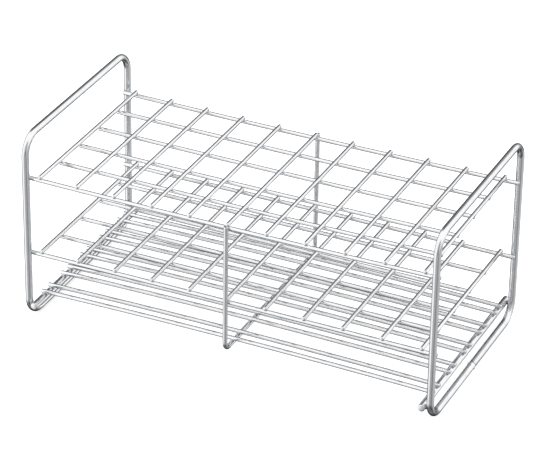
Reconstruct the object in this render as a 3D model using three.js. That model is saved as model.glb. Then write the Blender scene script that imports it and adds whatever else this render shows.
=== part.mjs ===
// Test tube rack of welded stainless steel wire, for ten tubes along its length by five across its depth.
// Millimetres. +X runs along the rack, +Y from its front to its back, +Z up. The origin is on the surface
// that the rack stands on, under the middle of the rack.
//
// Every wire is a many-sided prism with flats that face the main axes, so that wires which cross or lie
// side by side touch flat to flat, where the real ones are welded.
import * as THREE from 'three';

// ---------------------------------------------------------------- driving dimensions

const TUBES_ALONG = 10;
const TUBES_ACROSS = 5;
const TUBE_PITCH = 22;

const GRID_WIRE = 2.3;
const SUPPORT_WIRE = 2.6;
const FRAME_WIRE = 4;

const RACK_HEIGHT = 111.6;
const TOP_GRID_HEIGHT = 85.2; // to the middle of the lengthwise wires
const MIDDLE_GRID_HEIGHT = 39.8; // to the middle of the lengthwise wires
const SHELF_HEIGHT = 12.2; // to the middle of the shelf wires

const END_CLEARANCE = 7; // from the last cross wire to the end frame, between their centre lines
const SHELF_PAIR_SPACING = 7.6; // between the two wires that carry one row of tubes
const FRAME_BEND_RADIUS = 11; // to the wire's centre line
const SUPPORT_BEND_RADIUS = 4.6; // to the wire's centre line

const LONG_WIRE_OVERHANG = 1.3; // past the centre line of a leg
const SHELF_WIRE_OVERHANG = 2.2; // past the centre line of a shelf bar
const SHELF_BAR_OVERHANG = 2.7; // past the centre line of a leg
const SUPPORT_TOP_RISE = 1; // above the centre line of the top grid's lengthwise wires

const WIRE_SIDES = 16;
const END_CHAMFER = 0.35;
const BEND_STEPS = 8;

// ---------------------------------------------------------------- places worked out from them

const gridHalfLength = (TUBES_ALONG * TUBE_PITCH) / 2;
const gridHalfDepth = (TUBES_ACROSS * TUBE_PITCH) / 2;

// The legs stand against the outer faces of the outermost lengthwise wires, and so does the centre support.
const frameX = gridHalfLength + END_CLEARANCE;
const legY = gridHalfDepth + (GRID_WIRE + FRAME_WIRE) / 2;
const supportY = gridHalfDepth + (GRID_WIRE + SUPPORT_WIRE) / 2;

// The shelf wires lie on the end bars and on the bottom of the centre support.
const shelfBarX = frameX - FRAME_WIRE;
const shelfBarHeight = SHELF_HEIGHT - (GRID_WIRE + FRAME_WIRE) / 2;
const supportBottomHeight = SHELF_HEIGHT - (GRID_WIRE + SUPPORT_WIRE) / 2;

// ---------------------------------------------------------------- materials

function polishedSteel(colour, roughness) {
  return new THREE.MeshStandardMaterial({ color: colour, roughness, metalness: 1 });
}

// ---------------------------------------------------------------- wire shapes

// A straight wire with chamfered ends, centred on the origin and lying along Y.
function straightWire(diameter, length) {
  const cornerRadius = diameter / 2 / Math.cos(Math.PI / WIRE_SIDES);
  const halfLength = length / 2;
  const profile = [
    new THREE.Vector2(0, -halfLength),
    new THREE.Vector2(cornerRadius - END_CHAMFER, -halfLength),
    new THREE.Vector2(cornerRadius, -halfLength + END_CHAMFER),
    new THREE.Vector2(cornerRadius, halfLength - END_CHAMFER),
    new THREE.Vector2(cornerRadius - END_CHAMFER, halfLength),
    new THREE.Vector2(0, halfLength),
  ];
  return new THREE.LatheGeometry(profile, WIRE_SIDES, Math.PI / WIRE_SIDES);
}

// The width of one flat of a wire.
function flatWidth(diameter) {
  return diameter * Math.tan(Math.PI / WIRE_SIDES);
}

// A wire bent in one plane. The outline is a thin band, one flat wide, along the wire's centre line, and
// the bevel swells it on every side to the wire's full thickness. It comes out lying in the YZ plane.
function bentWire(diameter, outline) {
  const flat = flatWidth(diameter);
  const swell = (diameter - flat) / 2;
  const geometry = new THREE.ExtrudeGeometry(outline, {
    depth: flat,
    bevelThickness: swell,
    bevelSize: swell,
    bevelSegments: WIRE_SIDES / 4 - 1,
    curveSegments: BEND_STEPS,
  });
  geometry.translate(0, 0, -flat / 2);
  // The outline's x and y become the rack's Y and Z.
  geometry.rotateX(Math.PI / 2);
  geometry.rotateZ(Math.PI / 2);
  return geometry;
}

// A closed rectangle with rounded corners. Its sides are at plus and minus halfWidth.
function roundedRectangle(path, halfWidth, bottom, top, radius) {
  path.moveTo(halfWidth, bottom + radius);
  path.absarc(halfWidth - radius, top - radius, radius, 0, Math.PI / 2);
  path.absarc(-halfWidth + radius, top - radius, radius, Math.PI / 2, Math.PI);
  path.absarc(-halfWidth + radius, bottom + radius, radius, Math.PI, 1.5 * Math.PI);
  path.absarc(halfWidth - radius, bottom + radius, radius, 1.5 * Math.PI, 2 * Math.PI);
  return path;
}

// The closed loop of an end frame, standing on the rack's base plane.
function endFrameOutline() {
  const halfFlat = flatWidth(FRAME_WIRE) / 2;
  const bottom = FRAME_WIRE / 2;
  const top = RACK_HEIGHT - FRAME_WIRE / 2;
  const outer = roundedRectangle(
    new THREE.Shape(), legY + halfFlat, bottom - halfFlat, top + halfFlat, FRAME_BEND_RADIUS + halfFlat);
  const inner = roundedRectangle(
    new THREE.Path(), legY - halfFlat, bottom + halfFlat, top - halfFlat, FRAME_BEND_RADIUS - halfFlat);
  outer.holes.push(inner);
  return outer;
}

// The U of the centre support, open at the top.
function centreSupportOutline() {
  const halfFlat = flatWidth(SUPPORT_WIRE) / 2;
  const swell = SUPPORT_WIRE / 2 - halfFlat;
  const top = TOP_GRID_HEIGHT + SUPPORT_TOP_RISE - swell;
  const bendHeight = supportBottomHeight + SUPPORT_BEND_RADIUS;
  const bendY = supportY - SUPPORT_BEND_RADIUS;
  const outerRadius = SUPPORT_BEND_RADIUS + halfFlat;
  const innerRadius = SUPPORT_BEND_RADIUS - halfFlat;
  const band = new THREE.Shape();
  band.moveTo(supportY + halfFlat, top);
  band.lineTo(supportY - halfFlat, top);
  band.absarc(bendY, bendHeight, innerRadius, 0, -Math.PI / 2, true);
  band.absarc(-bendY, bendHeight, innerRadius, -Math.PI / 2, -Math.PI, true);
  band.lineTo(-supportY + halfFlat, top);
  band.lineTo(-supportY - halfFlat, top);
  band.absarc(-bendY, bendHeight, outerRadius, -Math.PI, -Math.PI / 2);
  band.absarc(bendY, bendHeight, outerRadius, -Math.PI / 2, 0);
  return band;
}

// ---------------------------------------------------------------- the rack

const rack = new THREE.Group();

function addPiece(name, geometry, material) {
  const mesh = new THREE.Mesh(geometry, material);
  mesh.name = name;
  rack.add(mesh);
  return mesh;
}

// A wire along X, from -halfLength to halfLength.
function addLongWire(name, halfLength, y, z) {
  const mesh = addPiece(name, straightWire(GRID_WIRE, 2 * halfLength), polishedSteel(0xd9dadb, 0.2));
  mesh.rotation.z = -Math.PI / 2;
  mesh.position.set(0, y, z);
}

// A wire along Y, from -halfLength to halfLength.
function addCrossWire(name, diameter, halfLength, x, z) {
  const mesh = addPiece(name, straightWire(diameter, 2 * halfLength), polishedSteel(0xd9dadb, 0.2));
  mesh.position.set(x, 0, z);
}

function addEndFrames() {
  const steel = [polishedSteel(0xcdcfd1, 0.25), polishedSteel(0xcdcfd1, 0.25)];
  addPiece('left_end_frame', bentWire(FRAME_WIRE, endFrameOutline()), steel[0]).position.x = -frameX;
  addPiece('right_end_frame', bentWire(FRAME_WIRE, endFrameOutline()), steel[1]).position.x = frameX;
}

// One level of tube holes: cross wires lying on lengthwise wires, and cut flush with the outer ones. The
// outer lengthwise wires reach past the legs, and the others stop under the end cross wires.
function addGrid(level, height) {
  const outerHalfLength = frameX + LONG_WIRE_OVERHANG;
  const innerHalfLength = gridHalfLength + END_CHAMFER;
  const crossHalfLength = gridHalfDepth + GRID_WIRE / 2;
  for (let row = 0; row <= TUBES_ACROSS; row += 1) {
    const isOuter = row === 0 || row === TUBES_ACROSS;
    const y = -gridHalfDepth + row * TUBE_PITCH;
    addLongWire(`${level}_long_wire_${row + 1}`, isOuter ? outerHalfLength : innerHalfLength, y, height);
  }
  for (let column = 0; column <= TUBES_ALONG; column += 1) {
    const name = `${level}_cross_wire_${String(column + 1).padStart(2, '0')}`;
    const x = -gridHalfLength + column * TUBE_PITCH;
    addCrossWire(name, GRID_WIRE, crossHalfLength, x, height + GRID_WIRE);
  }
}

// Five pairs of wires on two end bars. A round-bottomed tube rests between the two wires of a pair.
function addShelf() {
  const halfLength = shelfBarX + SHELF_WIRE_OVERHANG;
  for (let row = 0; row < TUBES_ACROSS; row += 1) {
    const rowY = -gridHalfDepth + (row + 0.5) * TUBE_PITCH;
    for (const side of [0, 1]) {
      const name = `shelf_wire_${String(2 * row + side + 1).padStart(2, '0')}`;
      addLongWire(name, halfLength, rowY + (side - 0.5) * SHELF_PAIR_SPACING, SHELF_HEIGHT);
    }
  }
  const barHalfLength = legY + SHELF_BAR_OVERHANG;
  addCrossWire('left_shelf_bar', FRAME_WIRE, barHalfLength, -shelfBarX, shelfBarHeight);
  addCrossWire('right_shelf_bar', FRAME_WIRE, barHalfLength, shelfBarX, shelfBarHeight);
}

function addCentreSupport() {
  addPiece('centre_support', bentWire(SUPPORT_WIRE, centreSupportOutline()), polishedSteel(0xcdcfd1, 0.25));
}

addEndFrames();
addGrid('top', TOP_GRID_HEIGHT);
addGrid('middle', MIDDLE_GRID_HEIGHT);
addShelf();
addCentreSupport();

export default rack;
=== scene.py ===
"""Test tube rack of welded, electropolished stainless steel wire: the looks, built on the CAD frame.

Metres. +X runs along the rack, +Y from its front to its back, +Z up, and the rack stands on z = 0.
Every CAD node is replaced by a smooth round wire on the same centre line, apart from a slight sag of the
top grid and a slight arch of the shelf, and the weld metal is added.
"""
import math
import random
from collections import namedtuple

import bmesh
import bpy
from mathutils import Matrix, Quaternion, Vector


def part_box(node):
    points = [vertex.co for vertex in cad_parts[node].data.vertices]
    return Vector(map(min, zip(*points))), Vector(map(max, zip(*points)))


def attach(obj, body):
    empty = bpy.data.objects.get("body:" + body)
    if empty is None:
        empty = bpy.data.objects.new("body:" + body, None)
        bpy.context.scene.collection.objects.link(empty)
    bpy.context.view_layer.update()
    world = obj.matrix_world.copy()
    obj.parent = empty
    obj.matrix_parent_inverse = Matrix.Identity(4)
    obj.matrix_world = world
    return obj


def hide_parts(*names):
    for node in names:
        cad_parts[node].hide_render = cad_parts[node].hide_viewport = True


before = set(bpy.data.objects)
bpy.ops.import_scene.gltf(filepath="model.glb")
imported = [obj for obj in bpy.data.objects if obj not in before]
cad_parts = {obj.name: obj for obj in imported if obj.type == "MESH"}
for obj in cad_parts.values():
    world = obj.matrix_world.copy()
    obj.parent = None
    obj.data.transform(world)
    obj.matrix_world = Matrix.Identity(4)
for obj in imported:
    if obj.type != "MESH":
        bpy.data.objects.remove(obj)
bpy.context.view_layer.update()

# ---------------------------------------------------------------- driving values

MM = 0.001

WIRE_SIDES = 24
BOWED_STEPS = 40  # along a wire that isn't quite straight
BEND_STEPS = 14  # round a quarter bend
END_STEPS = 4  # over the rounded edge of a cut end
CUT_EDGE_ROUNDING = 0.45 * MM
CUT_END_DOME = 0.08 * MM

FRAME_BEND_RADIUS = 11 * MM
SUPPORT_BEND_RADIUS = 4.6 * MM

# Welding pulls the long wires a little out of line: the top grid sags, and the shelf arches.
TOP_GRID_RISE = -0.9 * MM
SHELF_RISE = 1.4 * MM

BUTT_WELD_SWELL = 0.3 * MM
BUTT_WELD_HALF_LENGTH = 1.6 * MM
BUTT_WELD_STEPS = 6

WELD_SIDES = 20
WELD_STEPS = 6
WELD_SINK = 0.08 * MM  # how far a weld's ends reach into the two wires
SET_DOWN = 0.4 * MM  # how far welding presses an upper wire into a lower one
WELD_WAIST = 0.82  # its narrowest radius, as a share of its widest
WELD_SPREAD = 0.12  # how much the welds differ in size, as a share
# With their spread, these stay below the radius of the thinner wire that they join.
GRID_WELD_RADIUS = 1.0 * MM
FRAME_WELD_RADIUS = 1.0 * MM
BAR_WELD_RADIUS = 1.5 * MM
RANDOM_SEED = 7

# Each pair is the darker and the lighter tone, or the smoother and the rougher patches.
GRID_STEEL_TONES = ((0.66, 0.67, 0.685), (0.72, 0.73, 0.745))
GRID_STEEL_ROUGHNESS = (0.1, 0.16)
THICK_STEEL_TONES = ((0.62, 0.63, 0.645), (0.69, 0.70, 0.715))
SUPPORT_STEEL_ROUGHNESS = (0.1, 0.16)
FRAME_STEEL_ROUGHNESS = (0.09, 0.15)
WELD_TONES = ((0.28, 0.28, 0.28), (0.46, 0.455, 0.44))
WELD_ROUGHNESS = (0.3, 0.45)
FLOOR_TONES = ((0.84, 0.84, 0.84), (0.86, 0.86, 0.86))
FLOOR_ROUGHNESS = 0.9
FLOOR_SPECULAR = 0.1
FLOOR_GLOW = 0.55
FLOOR_HALF_WIDTH = 4

CAMERA_AZIMUTH = 24.6  # degrees
CAMERA_ELEVATION = 29.6
CAMERA_ROLL = 0.94
CAMERA_DISTANCE = 1566.5 * MM
CAMERA_TARGET = Vector((3.7, -11.2, 64.6)) * MM
CAMERA_LENS = 197.3  # millimetres
CAMERA_SENSOR = 36  # millimetres

# A flag is a soft dark patch of the white studio. Its angles are in degrees: where it is, and how far from
# there it is fully dark and how far it reaches.
Flag = namedtuple("Flag", "azimuth elevation inner outer darkness")
FLAGS = [
    Flag(CAMERA_AZIMUTH - 4, -30, 20, 50, 0.6),
    Flag(CAMERA_AZIMUTH + 187, -30, 40, 70, 0.85),
    Flag(0, -90, 34, 58, 0.8),
    Flag(206, 20, 18, 42, 0.6),
    Flag(26, 20, 18, 42, 0.6),
    Flag(85, -30, 25, 50, 0.55),
    Flag(213, 47, 10, 26, 0.75),
]
STUDIO_BRIGHTNESS = 1.42
BACKDROP_BRIGHTNESS = 1.0

X_AXIS = Vector((1, 0, 0))
Y_AXIS = Vector((0, 1, 0))
Z_AXIS = Vector((0, 0, 1))


# ---------------------------------------------------------------- wires, read from the frame

Wire = namedtuple("Wire", "node centre half_length radius axis")
Upright = namedtuple("Upright", "x y radius")
Bow = namedtuple("Bow", "rise half_length")


def read_wire(node):
    """A straight CAD wire's centre line and radius."""
    low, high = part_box(node)
    size = high - low
    axis = max((X_AXIS, Y_AXIS, Z_AXIS), key=size.dot)
    return Wire(node, (low + high) / 2, size.dot(axis) / 2, min(size) / 2, axis)


def grid_wires(level):
    """The lengthwise wires and the cross wires of one grid."""
    names = sorted(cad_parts)
    long_wires = [read_wire(name) for name in names if name.startswith(f"{level}_long_wire")]
    cross_wires = [read_wire(name) for name in names if name.startswith(f"{level}_cross_wire")]
    return long_wires, cross_wires


def read_uprights(node):
    """The front and the back upright of a bent wire."""
    low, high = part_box(node)
    radius = (high.x - low.x) / 2
    x = (low.x + high.x) / 2
    return [Upright(x, low.y + radius, radius), Upright(x, high.y - radius, radius)]


def lift_at(bow, x):
    """How far a bowed level stands above its straight line, at this place along the rack."""
    return Z_AXIS * bow.rise * (1 - (x / bow.half_length) ** 2)


# ---------------------------------------------------------------- meshes of wire

def add_ring(bm, centre, tangent, side, radius, along):
    """One ring of a round wire. side is a unit vector square to the wire."""
    place = bm.verts.layers.float_vector["wire_place"]
    across = tangent.cross(side)
    ring = []
    for step in range(WIRE_SIDES):
        angle = 2 * math.pi * step / WIRE_SIDES
        vertex = bm.verts.new(centre + radius * (side * math.cos(angle) + across * math.sin(angle)))
        vertex[place] = (along, radius * math.cos(angle), radius * math.sin(angle))
        ring.append(vertex)
    return ring


def join_rings(bm, first, second):
    for step, vertex in enumerate(first):
        after = (step + 1) % len(first)
        bm.faces.new((vertex, first[after], second[after], second[step]))


def close_end(bm, ring, tip):
    """A shallow cone of faces from a ring to a point just outside it."""
    place = bm.verts.layers.float_vector["wire_place"]
    centre = bm.verts.new(tip)
    centre[place] = (ring[0][place].x, 0, 0)
    for step, vertex in enumerate(ring):
        bm.faces.new((vertex, ring[(step + 1) % len(ring)], centre))


def sweep(path, radii, side, closed=False):
    """The mesh of a round wire along path, with a radius for each of its points.

    Every vertex keeps its place on the wire as it was before bending, for the material to read.
    """
    bm = bmesh.new()
    bm.verts.layers.float_vector.new("wire_place")
    count = len(path)
    rings = []
    along = 0.0
    for index, (centre, radius) in enumerate(zip(path, radii)):
        before = path[index - 1] if closed or index > 0 else centre
        after = path[(index + 1) % count] if closed or index < count - 1 else centre
        tangent = (after - before).normalized()
        if index > 0:
            along += (centre - before).length
        rings.append(add_ring(bm, centre, tangent, side, radius, along))
    for first, second in zip(rings, rings[1:]):
        join_rings(bm, first, second)
    if closed:
        join_rings(bm, rings[-1], rings[0])
    else:
        close_end(bm, rings[0], path[0] + (path[0] - path[1]).normalized() * CUT_END_DOME)
        close_end(bm, rings[-1], path[-1] + (path[-1] - path[-2]).normalized() * CUT_END_DOME)
    return bm


def cut_wire(path, radius, side):
    """The mesh of a wire that is cut off at both ends, with the cut edges rounded by tumbling."""
    start_inward = (path[1] - path[0]).normalized()
    finish_inward = (path[-2] - path[-1]).normalized()
    starts = []
    finishes = []
    radii = []
    for step in range(END_STEPS):
        angle = math.pi / 2 * step / END_STEPS
        inset = CUT_EDGE_ROUNDING * (1 - math.cos(angle))
        starts.append(path[0] + start_inward * inset)
        finishes.append(path[-1] + finish_inward * inset)
        radii.append(radius - CUT_EDGE_ROUNDING * (1 - math.sin(angle)))
    starts.append(path[0] + start_inward * CUT_EDGE_ROUNDING)
    finishes.append(path[-1] + finish_inward * CUT_EDGE_ROUNDING)
    radii.append(radius)
    middle = path[1:-1]
    whole_path = starts + middle + finishes[::-1]
    whole_radii = radii + [radius] * len(middle) + radii[::-1]
    return sweep(whole_path, whole_radii, side)


def bent_path(points, bend_radius):
    """The points of a wire that runs straight from point to point, with a round quarter bend at each of
    them but the first and the last."""
    path = [points[0]]
    for before, corner, after in zip(points, points[1:], points[2:]):
        arriving = (corner - before).normalized()
        leaving = (after - corner).normalized()
        centre = corner + (leaving - arriving) * bend_radius
        for step in range(BEND_STEPS + 1):
            angle = math.pi / 2 * step / BEND_STEPS
            path.append(centre + (arriving * math.sin(angle) - leaving * math.cos(angle)) * bend_radius)
    path.append(points[-1])
    return path


# ---------------------------------------------------------------- pieces

def add_piece(name, bm, material, nodes=()):
    """A finished piece of the rack, which stands for these CAD nodes."""
    bmesh.ops.recalc_face_normals(bm, faces=bm.faces)
    for face in bm.faces:
        face.smooth = True
    mesh = bpy.data.meshes.new(name)
    bm.to_mesh(mesh)
    bm.free()
    mesh.materials.append(material)
    piece = bpy.data.objects.new(name, mesh)
    bpy.context.scene.collection.objects.link(piece)
    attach(piece, "root")
    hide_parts(*nodes)
    return piece


def add_long_wire(wire, bow, material):
    """A wire along the rack, bowed like the rest of its level."""
    path = []
    for step in range(BOWED_STEPS + 1):
        x = wire.half_length * (2 * step / BOWED_STEPS - 1)
        path.append(wire.centre + X_AXIS * x + lift_at(bow, x))
    add_piece(f"round_{wire.node}", cut_wire(path, wire.radius, Y_AXIS), material, [wire.node])


def add_cross_wire(wire, lift, material):
    """A wire across the rack, moved by lift with the wires that it is welded to."""
    half = wire.axis * wire.half_length
    path = [wire.centre - half + lift, wire.centre + lift, wire.centre + half + lift]
    add_piece(f"round_{wire.node}", cut_wire(path, wire.radius, X_AXIS), material, [wire.node])


def add_end_frame(node, material):
    """A closed loop of thick wire, butt welded in the middle of its foot run."""
    low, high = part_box(node)
    radius = (high.x - low.x) / 2
    x = (low.x + high.x) / 2
    front, back = low.y + radius, high.y - radius
    bottom, top = low.z + radius, high.z - radius
    weld = Vector((x, (front + back) / 2, bottom))
    corners = [Vector((x, y, z)) for y, z in ((back, bottom), (back, top), (front, top), (front, bottom))]
    loop = bent_path([weld, *corners, weld], FRAME_BEND_RADIUS)[1:-1]
    reach = [BUTT_WELD_HALF_LENGTH * step / BUTT_WELD_STEPS for step in range(BUTT_WELD_STEPS + 1)]
    swells = [BUTT_WELD_SWELL * math.cos(math.pi / 2 * step / BUTT_WELD_STEPS) ** 2
              for step in range(BUTT_WELD_STEPS + 1)]
    leaving = [weld + Y_AXIS * distance for distance in reach]
    arriving = [weld - Y_AXIS * distance for distance in reach[:0:-1]]
    path = leaving + loop + arriving
    radii = [radius + swell for swell in swells]
    radii += [radius] * len(loop)
    radii += [radius + swell for swell in swells[:0:-1]]
    bm = sweep(path, radii, X_AXIS, closed=True)
    for vertex in bm.verts:
        # The butt weld is ground flat underneath, where the rack stands on it.
        vertex.co.z = max(vertex.co.z, low.z)
    add_piece(f"round_{node}", bm, material, [node])


def add_centre_support(shelf_bow, material):
    """A U of medium wire. Its bottom run stays against the arched shelf, and is returned as a wire."""
    low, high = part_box("centre_support")
    radius = (high.x - low.x) / 2
    front, back = low.y + radius, high.y - radius
    run = Wire("centre_support", Vector((0, 0, low.z + radius + SET_DOWN)), back, radius, Y_AXIS)
    bottom = run.centre.z + shelf_bow.rise
    corners = ((front, high.z), (front, bottom), (back, bottom), (back, high.z))
    points = [Vector((0, y, z)) for y, z in corners]
    path = bent_path(points, SUPPORT_BEND_RADIUS)
    bm = cut_wire(path, radius, X_AXIS)
    add_piece("round_centre_support", bm, material, ["centre_support"])
    return run


# ---------------------------------------------------------------- welds

def add_weld(bm, place, towards, first_axis, first_radius, second_radius, size, set_down=0.0):
    """The metal squeezed out between two wires that cross at right angles and meet at place.

    towards points from the first wire to the second. The weld is a waisted collar whose ends follow
    the two wires' surfaces, a little inside them.
    """
    across = towards.cross(first_axis)
    size *= 1 + random.uniform(-WELD_SPREAD, WELD_SPREAD)
    rings = []
    for step in range(WELD_STEPS + 1):
        share = step / WELD_STEPS
        radius = size * (1 - (1 - WELD_WAIST) * math.sin(math.pi * share))
        ring = []
        for side in range(WELD_SIDES):
            angle = 2 * math.pi * side / WELD_SIDES
            u = radius * math.cos(angle)
            v = radius * math.sin(angle)
            first_drop = first_radius - math.sqrt(first_radius ** 2 - v ** 2)
            second_drop = second_radius - math.sqrt(second_radius ** 2 - u ** 2)
            start = set_down / 2 - first_drop - WELD_SINK
            gap = max(first_drop + second_drop - set_down, 0) + 2 * WELD_SINK
            height = start + share * gap
            ring.append(bm.verts.new(place + first_axis * u + across * v + towards * height))
        rings.append(ring)
    for lower, upper in zip(rings, rings[1:]):
        join_rings(bm, lower, upper)
    for ring, height in ((rings[0], -WELD_SINK), (rings[-1], WELD_SINK)):
        centre = bm.verts.new(place + towards * height)
        for side, vertex in enumerate(ring):
            bm.faces.new((vertex, ring[(side + 1) % WELD_SIDES], centre))


def add_crossing_welds(bm, lower_wires, upper_wires, size, bow):
    """A weld at each place where one of the upper wires lies on one of the lower wires."""
    for lower in lower_wires:
        for upper in upper_wires:
            along_x, along_y = (lower, upper) if lower.axis == X_AXIS else (upper, lower)
            meeting_height = lower.centre.z + lower.radius - SET_DOWN / 2
            place = Vector((along_y.centre.x, along_x.centre.y, meeting_height))
            place += lift_at(bow, along_y.centre.x)
            add_weld(bm, place, Z_AXIS, lower.axis, lower.radius, upper.radius, size, SET_DOWN)


def add_upright_welds(bm, wires, uprights, size, bow):
    """A weld at each place where an upright stands against the side of one of the wires."""
    for wire in wires:
        for upright in uprights:
            axis = Vector((upright.x, upright.y, wire.centre.z))
            towards = axis - wire.centre
            towards -= wire.axis * towards.dot(wire.axis)
            if towards.length < wire.radius + upright.radius + WELD_SINK:
                towards.normalize()
                place = axis - towards * upright.radius + lift_at(bow, upright.x)
                add_weld(bm, place, towards, wire.axis, wire.radius, upright.radius, size)


# ---------------------------------------------------------------- materials

def new_material(name):
    """A material, with its nodes, its links and its shader."""
    material = bpy.data.materials.new(name)
    material.use_nodes = True
    nodes = material.node_tree.nodes
    return material, nodes, material.node_tree.links, nodes["Principled BSDF"]


def add_noise(nodes, links, vector, scale, detail, stretch=(1, 1, 1)):
    """Noise over a vector, drawn out along an axis where stretch is below 1."""
    mapping = nodes.new("ShaderNodeMapping")
    mapping.inputs["Scale"].default_value = stretch
    links.new(vector, mapping.inputs["Vector"])
    noise = nodes.new("ShaderNodeTexNoise")
    noise.inputs["Scale"].default_value = scale
    noise.inputs["Detail"].default_value = detail
    links.new(mapping.outputs["Vector"], noise.inputs["Vector"])
    return noise.outputs["Fac"]


def add_range(nodes, links, noise, limits):
    """A number between two limits, by the noise, whose values lie mostly between 0.3 and 0.7."""
    spread = nodes.new("ShaderNodeMapRange")
    spread.inputs["From Min"].default_value = 0.3
    spread.inputs["From Max"].default_value = 0.7
    spread.inputs["To Min"].default_value = limits[0]
    spread.inputs["To Max"].default_value = limits[1]
    links.new(noise, spread.inputs["Value"])
    return spread.outputs["Result"]


def add_tones(nodes, links, noise, tones):
    """A colour between two tones, by the noise, whose values lie mostly between the tones' positions."""
    ramp = nodes.new("ShaderNodeValToRGB")
    for element, position, tone in zip(ramp.color_ramp.elements, (0.32, 0.68), tones):
        element.position = position
        element.color = (*tone, 1)
    links.new(noise, ramp.inputs["Fac"])
    return ramp.outputs["Color"]


def add_bump(nodes, links, height, shader, strength, distance):
    bump = nodes.new("ShaderNodeBump")
    bump.inputs["Strength"].default_value = strength
    bump.inputs["Distance"].default_value = distance
    links.new(height, bump.inputs["Height"])
    links.new(bump.outputs["Normal"], shader.inputs["Normal"])


def drawn_wire_steel(name, tones, roughness):
    """Bright drawn wire: fine lines from the die run along it, under a slightly cloudy electropolish."""
    material, nodes, links, shader = new_material(name)
    attribute = nodes.new("ShaderNodeAttribute")
    attribute.attribute_name = "wire_place"
    place = attribute.outputs["Vector"]
    clouds = add_noise(nodes, links, place, scale=140, detail=3)
    die_lines = add_noise(nodes, links, place, scale=2600, detail=2, stretch=(0.015, 1, 1))
    shader.inputs["Metallic"].default_value = 1
    links.new(add_tones(nodes, links, clouds, tones), shader.inputs["Base Color"])
    links.new(add_range(nodes, links, clouds, roughness), shader.inputs["Roughness"])
    add_bump(nodes, links, die_lines, shader, strength=0.06, distance=0.01 * MM)
    return material


def weld_steel():
    """Weld metal: darker, duller and rougher than the wire, with a faint straw tint."""
    material, nodes, links, shader = new_material("weld_steel")
    place = nodes.new("ShaderNodeTexCoord").outputs["Object"]
    patches = add_noise(nodes, links, place, scale=900, detail=3)
    grains = add_noise(nodes, links, place, scale=3500, detail=2)
    shader.inputs["Metallic"].default_value = 1
    links.new(add_tones(nodes, links, patches, WELD_TONES), shader.inputs["Base Color"])
    links.new(add_range(nodes, links, patches, WELD_ROUGHNESS), shader.inputs["Roughness"])
    add_bump(nodes, links, grains, shader, strength=0.3, distance=0.03 * MM)
    return material


def floor_material():
    """A pale matt floor that glows a little, which keeps the shadows on it faint."""
    material, nodes, links, shader = new_material("pale_floor")
    place = nodes.new("ShaderNodeTexCoord").outputs["Object"]
    mottle = add_noise(nodes, links, place, scale=6, detail=2)
    links.new(add_tones(nodes, links, mottle, FLOOR_TONES), shader.inputs["Base Color"])
    shader.inputs["Roughness"].default_value = FLOOR_ROUGHNESS
    shader.inputs["Specular IOR Level"].default_value = FLOOR_SPECULAR
    shader.inputs["Emission Color"].default_value = (1, 1, 1, 1)
    shader.inputs["Emission Strength"].default_value = FLOOR_GLOW
    return material


# ---------------------------------------------------------------- the rack

def build_grid(level, rise, steel, weld_metal):
    """One level of tube holes. Returns its lengthwise wires and its bow."""
    long_wires, cross_wires = grid_wires(level)
    bow = Bow(rise, long_wires[0].half_length)
    for wire in long_wires:
        add_long_wire(wire, bow, steel)
    for wire in cross_wires:
        add_cross_wire(wire, lift_at(bow, wire.centre.x) - Z_AXIS * SET_DOWN, steel)
    welds = bmesh.new()
    add_crossing_welds(welds, long_wires, cross_wires, GRID_WELD_RADIUS, bow)
    add_piece(f"{level}_grid_welds", welds, weld_metal)
    return long_wires, bow


def build_shelf(wire_steel, bar_steel, weld_metal):
    """The shelf wires on their two end bars. Returns the wires, the bars and the bow."""
    names = sorted(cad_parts)
    wires = [read_wire(name) for name in names if name.startswith("shelf_wire")]
    bow = Bow(SHELF_RISE, wires[0].half_length)
    for wire in wires:
        add_long_wire(wire, bow, wire_steel)
    bars = []
    for node in ("left_shelf_bar", "right_shelf_bar"):
        bar = read_wire(node)
        bar = bar._replace(centre=bar.centre + Z_AXIS * SET_DOWN)
        add_cross_wire(bar, lift_at(bow, bar.centre.x), bar_steel)
        bars.append(bar)
    welds = bmesh.new()
    add_crossing_welds(welds, bars, wires, GRID_WELD_RADIUS, bow)
    add_piece("shelf_bar_welds", welds, weld_metal)
    return wires, bars, bow


def build_rack():
    """Every wire and weld of the rack."""
    grid_steel = drawn_wire_steel("grid_wire_steel", GRID_STEEL_TONES, GRID_STEEL_ROUGHNESS)
    support_steel = drawn_wire_steel("support_wire_steel", THICK_STEEL_TONES, SUPPORT_STEEL_ROUGHNESS)
    frame_steel = drawn_wire_steel("frame_wire_steel", THICK_STEEL_TONES, FRAME_STEEL_ROUGHNESS)
    weld_metal = weld_steel()

    add_end_frame("left_end_frame", frame_steel)
    add_end_frame("right_end_frame", frame_steel)
    top_wires, top_bow = build_grid("top", TOP_GRID_RISE, grid_steel, weld_metal)
    middle_wires, middle_bow = build_grid("middle", 0, grid_steel, weld_metal)
    shelf_wires, shelf_bars, shelf_bow = build_shelf(grid_steel, frame_steel, weld_metal)
    support_run = add_centre_support(shelf_bow, support_steel)

    legs = read_uprights("left_end_frame") + read_uprights("right_end_frame")
    welds = bmesh.new()
    add_upright_welds(welds, top_wires, legs, FRAME_WELD_RADIUS, top_bow)
    add_upright_welds(welds, middle_wires, legs, FRAME_WELD_RADIUS, middle_bow)
    add_upright_welds(welds, shelf_bars, legs, BAR_WELD_RADIUS, shelf_bow)
    add_piece("frame_welds", welds, weld_metal)

    support_uprights = read_uprights("centre_support")
    welds = bmesh.new()
    add_upright_welds(welds, top_wires, support_uprights, FRAME_WELD_RADIUS, top_bow)
    add_upright_welds(welds, middle_wires, support_uprights, FRAME_WELD_RADIUS, middle_bow)
    add_crossing_welds(welds, [support_run], shelf_wires, GRID_WELD_RADIUS, shelf_bow)
    add_piece("support_welds", welds, weld_metal)


random.seed(RANDOM_SEED)
build_rack()


# ---------------------------------------------------------------- floor, light and camera

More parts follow.
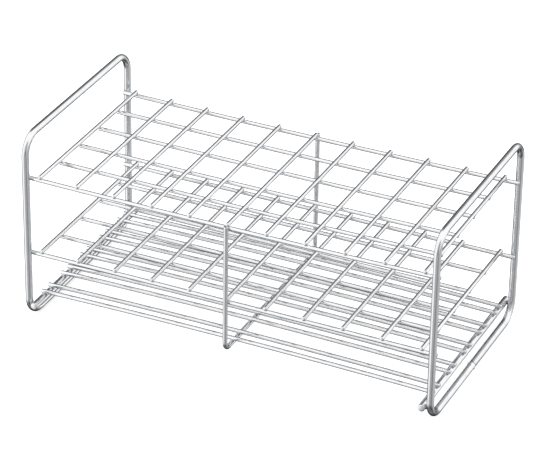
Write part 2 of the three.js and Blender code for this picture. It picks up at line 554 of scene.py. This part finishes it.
def add_floor():
    bm = bmesh.new()
    bmesh.ops.create_grid(bm, x_segments=1, y_segments=1, size=FLOOR_HALF_WIDTH)
    mesh = bpy.data.meshes.new("floor")
    bm.to_mesh(mesh)
    bm.free()
    mesh.materials.append(floor_material())
    floor = bpy.data.objects.new("floor", mesh)
    bpy.context.scene.collection.objects.link(floor)
    # The steel mirrors the studio instead, which is white with soft dark flags.
    floor.visible_glossy = False


def heading(azimuth, elevation):
    """The direction from the rack at these angles, in degrees. Azimuth 0 is the front and 90 the right."""
    azimuth, elevation = math.radians(azimuth), math.radians(elevation)
    level = math.cos(elevation)
    return Vector((math.sin(azimuth) * level, -math.cos(azimuth) * level, math.sin(elevation)))


def flag_shade(nodes, links, direction, flag):
    """How much of the studio's light is left in each direction by one flag, from 0 to 1."""
    facing = nodes.new("ShaderNodeVectorMath")
    facing.operation = "DOT_PRODUCT"
    facing.inputs[1].default_value = heading(flag.azimuth, flag.elevation)
    links.new(direction, facing.inputs[0])
    shade = nodes.new("ShaderNodeMapRange")
    shade.interpolation_type = "SMOOTHSTEP"
    shade.inputs["From Min"].default_value = math.cos(math.radians(flag.outer))
    shade.inputs["From Max"].default_value = math.cos(math.radians(flag.inner))
    shade.inputs["To Min"].default_value = 1
    shade.inputs["To Max"].default_value = 1 - flag.darkness
    links.new(facing.outputs["Value"], shade.inputs["Value"])
    return shade.outputs["Result"]


def multiply(nodes, links, value, factor):
    """A value times a number or times another value."""
    product = nodes.new("ShaderNodeMath")
    product.operation = "MULTIPLY"
    links.new(value, product.inputs[0])
    if isinstance(factor, (int, float)):
        product.inputs[1].default_value = factor
    else:
        links.new(factor, product.inputs[1])
    return product.outputs["Value"]


def add_studio():
    """A white surround with the flags in it, and a plain white backdrop behind the rack."""
    world = bpy.data.worlds.new("studio")
    world.use_nodes = True
    bpy.context.scene.world = world
    nodes, links = world.node_tree.nodes, world.node_tree.links
    direction = nodes.new("ShaderNodeTexCoord").outputs["Generated"]
    brightness = flag_shade(nodes, links, direction, FLAGS[0])
    for flag in FLAGS[1:]:
        brightness = multiply(nodes, links, brightness, flag_shade(nodes, links, direction, flag))
    surround = nodes["Background"]
    surround.inputs["Color"].default_value = (1, 1, 1, 1)
    links.new(multiply(nodes, links, brightness, STUDIO_BRIGHTNESS), surround.inputs["Strength"])
    backdrop = nodes.new("ShaderNodeBackground")
    backdrop.inputs["Color"].default_value = (1, 1, 1, 1)
    backdrop.inputs["Strength"].default_value = BACKDROP_BRIGHTNESS
    choice = nodes.new("ShaderNodeMixShader")
    links.new(nodes.new("ShaderNodeLightPath").outputs["Is Camera Ray"], choice.inputs["Fac"])
    links.new(surround.outputs["Background"], choice.inputs[1])
    links.new(backdrop.outputs["Background"], choice.inputs[2])
    links.new(choice.outputs["Shader"], nodes["World Output"].inputs["Surface"])


def add_camera():
    camera = bpy.data.objects.new("camera", bpy.data.cameras.new("camera"))
    bpy.context.scene.collection.objects.link(camera)
    bpy.context.scene.camera = camera
    back = heading(CAMERA_AZIMUTH, CAMERA_ELEVATION)
    camera.location = CAMERA_TARGET + back * CAMERA_DISTANCE
    camera.rotation_mode = "QUATERNION"
    level = back.to_track_quat("Z", "Y")
    camera.rotation_quaternion = level @ Quaternion(Z_AXIS, math.radians(CAMERA_ROLL))
    camera.data.sensor_width = CAMERA_SENSOR
    camera.data.lens = CAMERA_LENS
    camera.data.clip_start = 0.05
    camera.data.clip_end = 50


add_floor()
add_studio()
add_camera()
bpy.context.scene.view_settings.view_transform = "Standard"
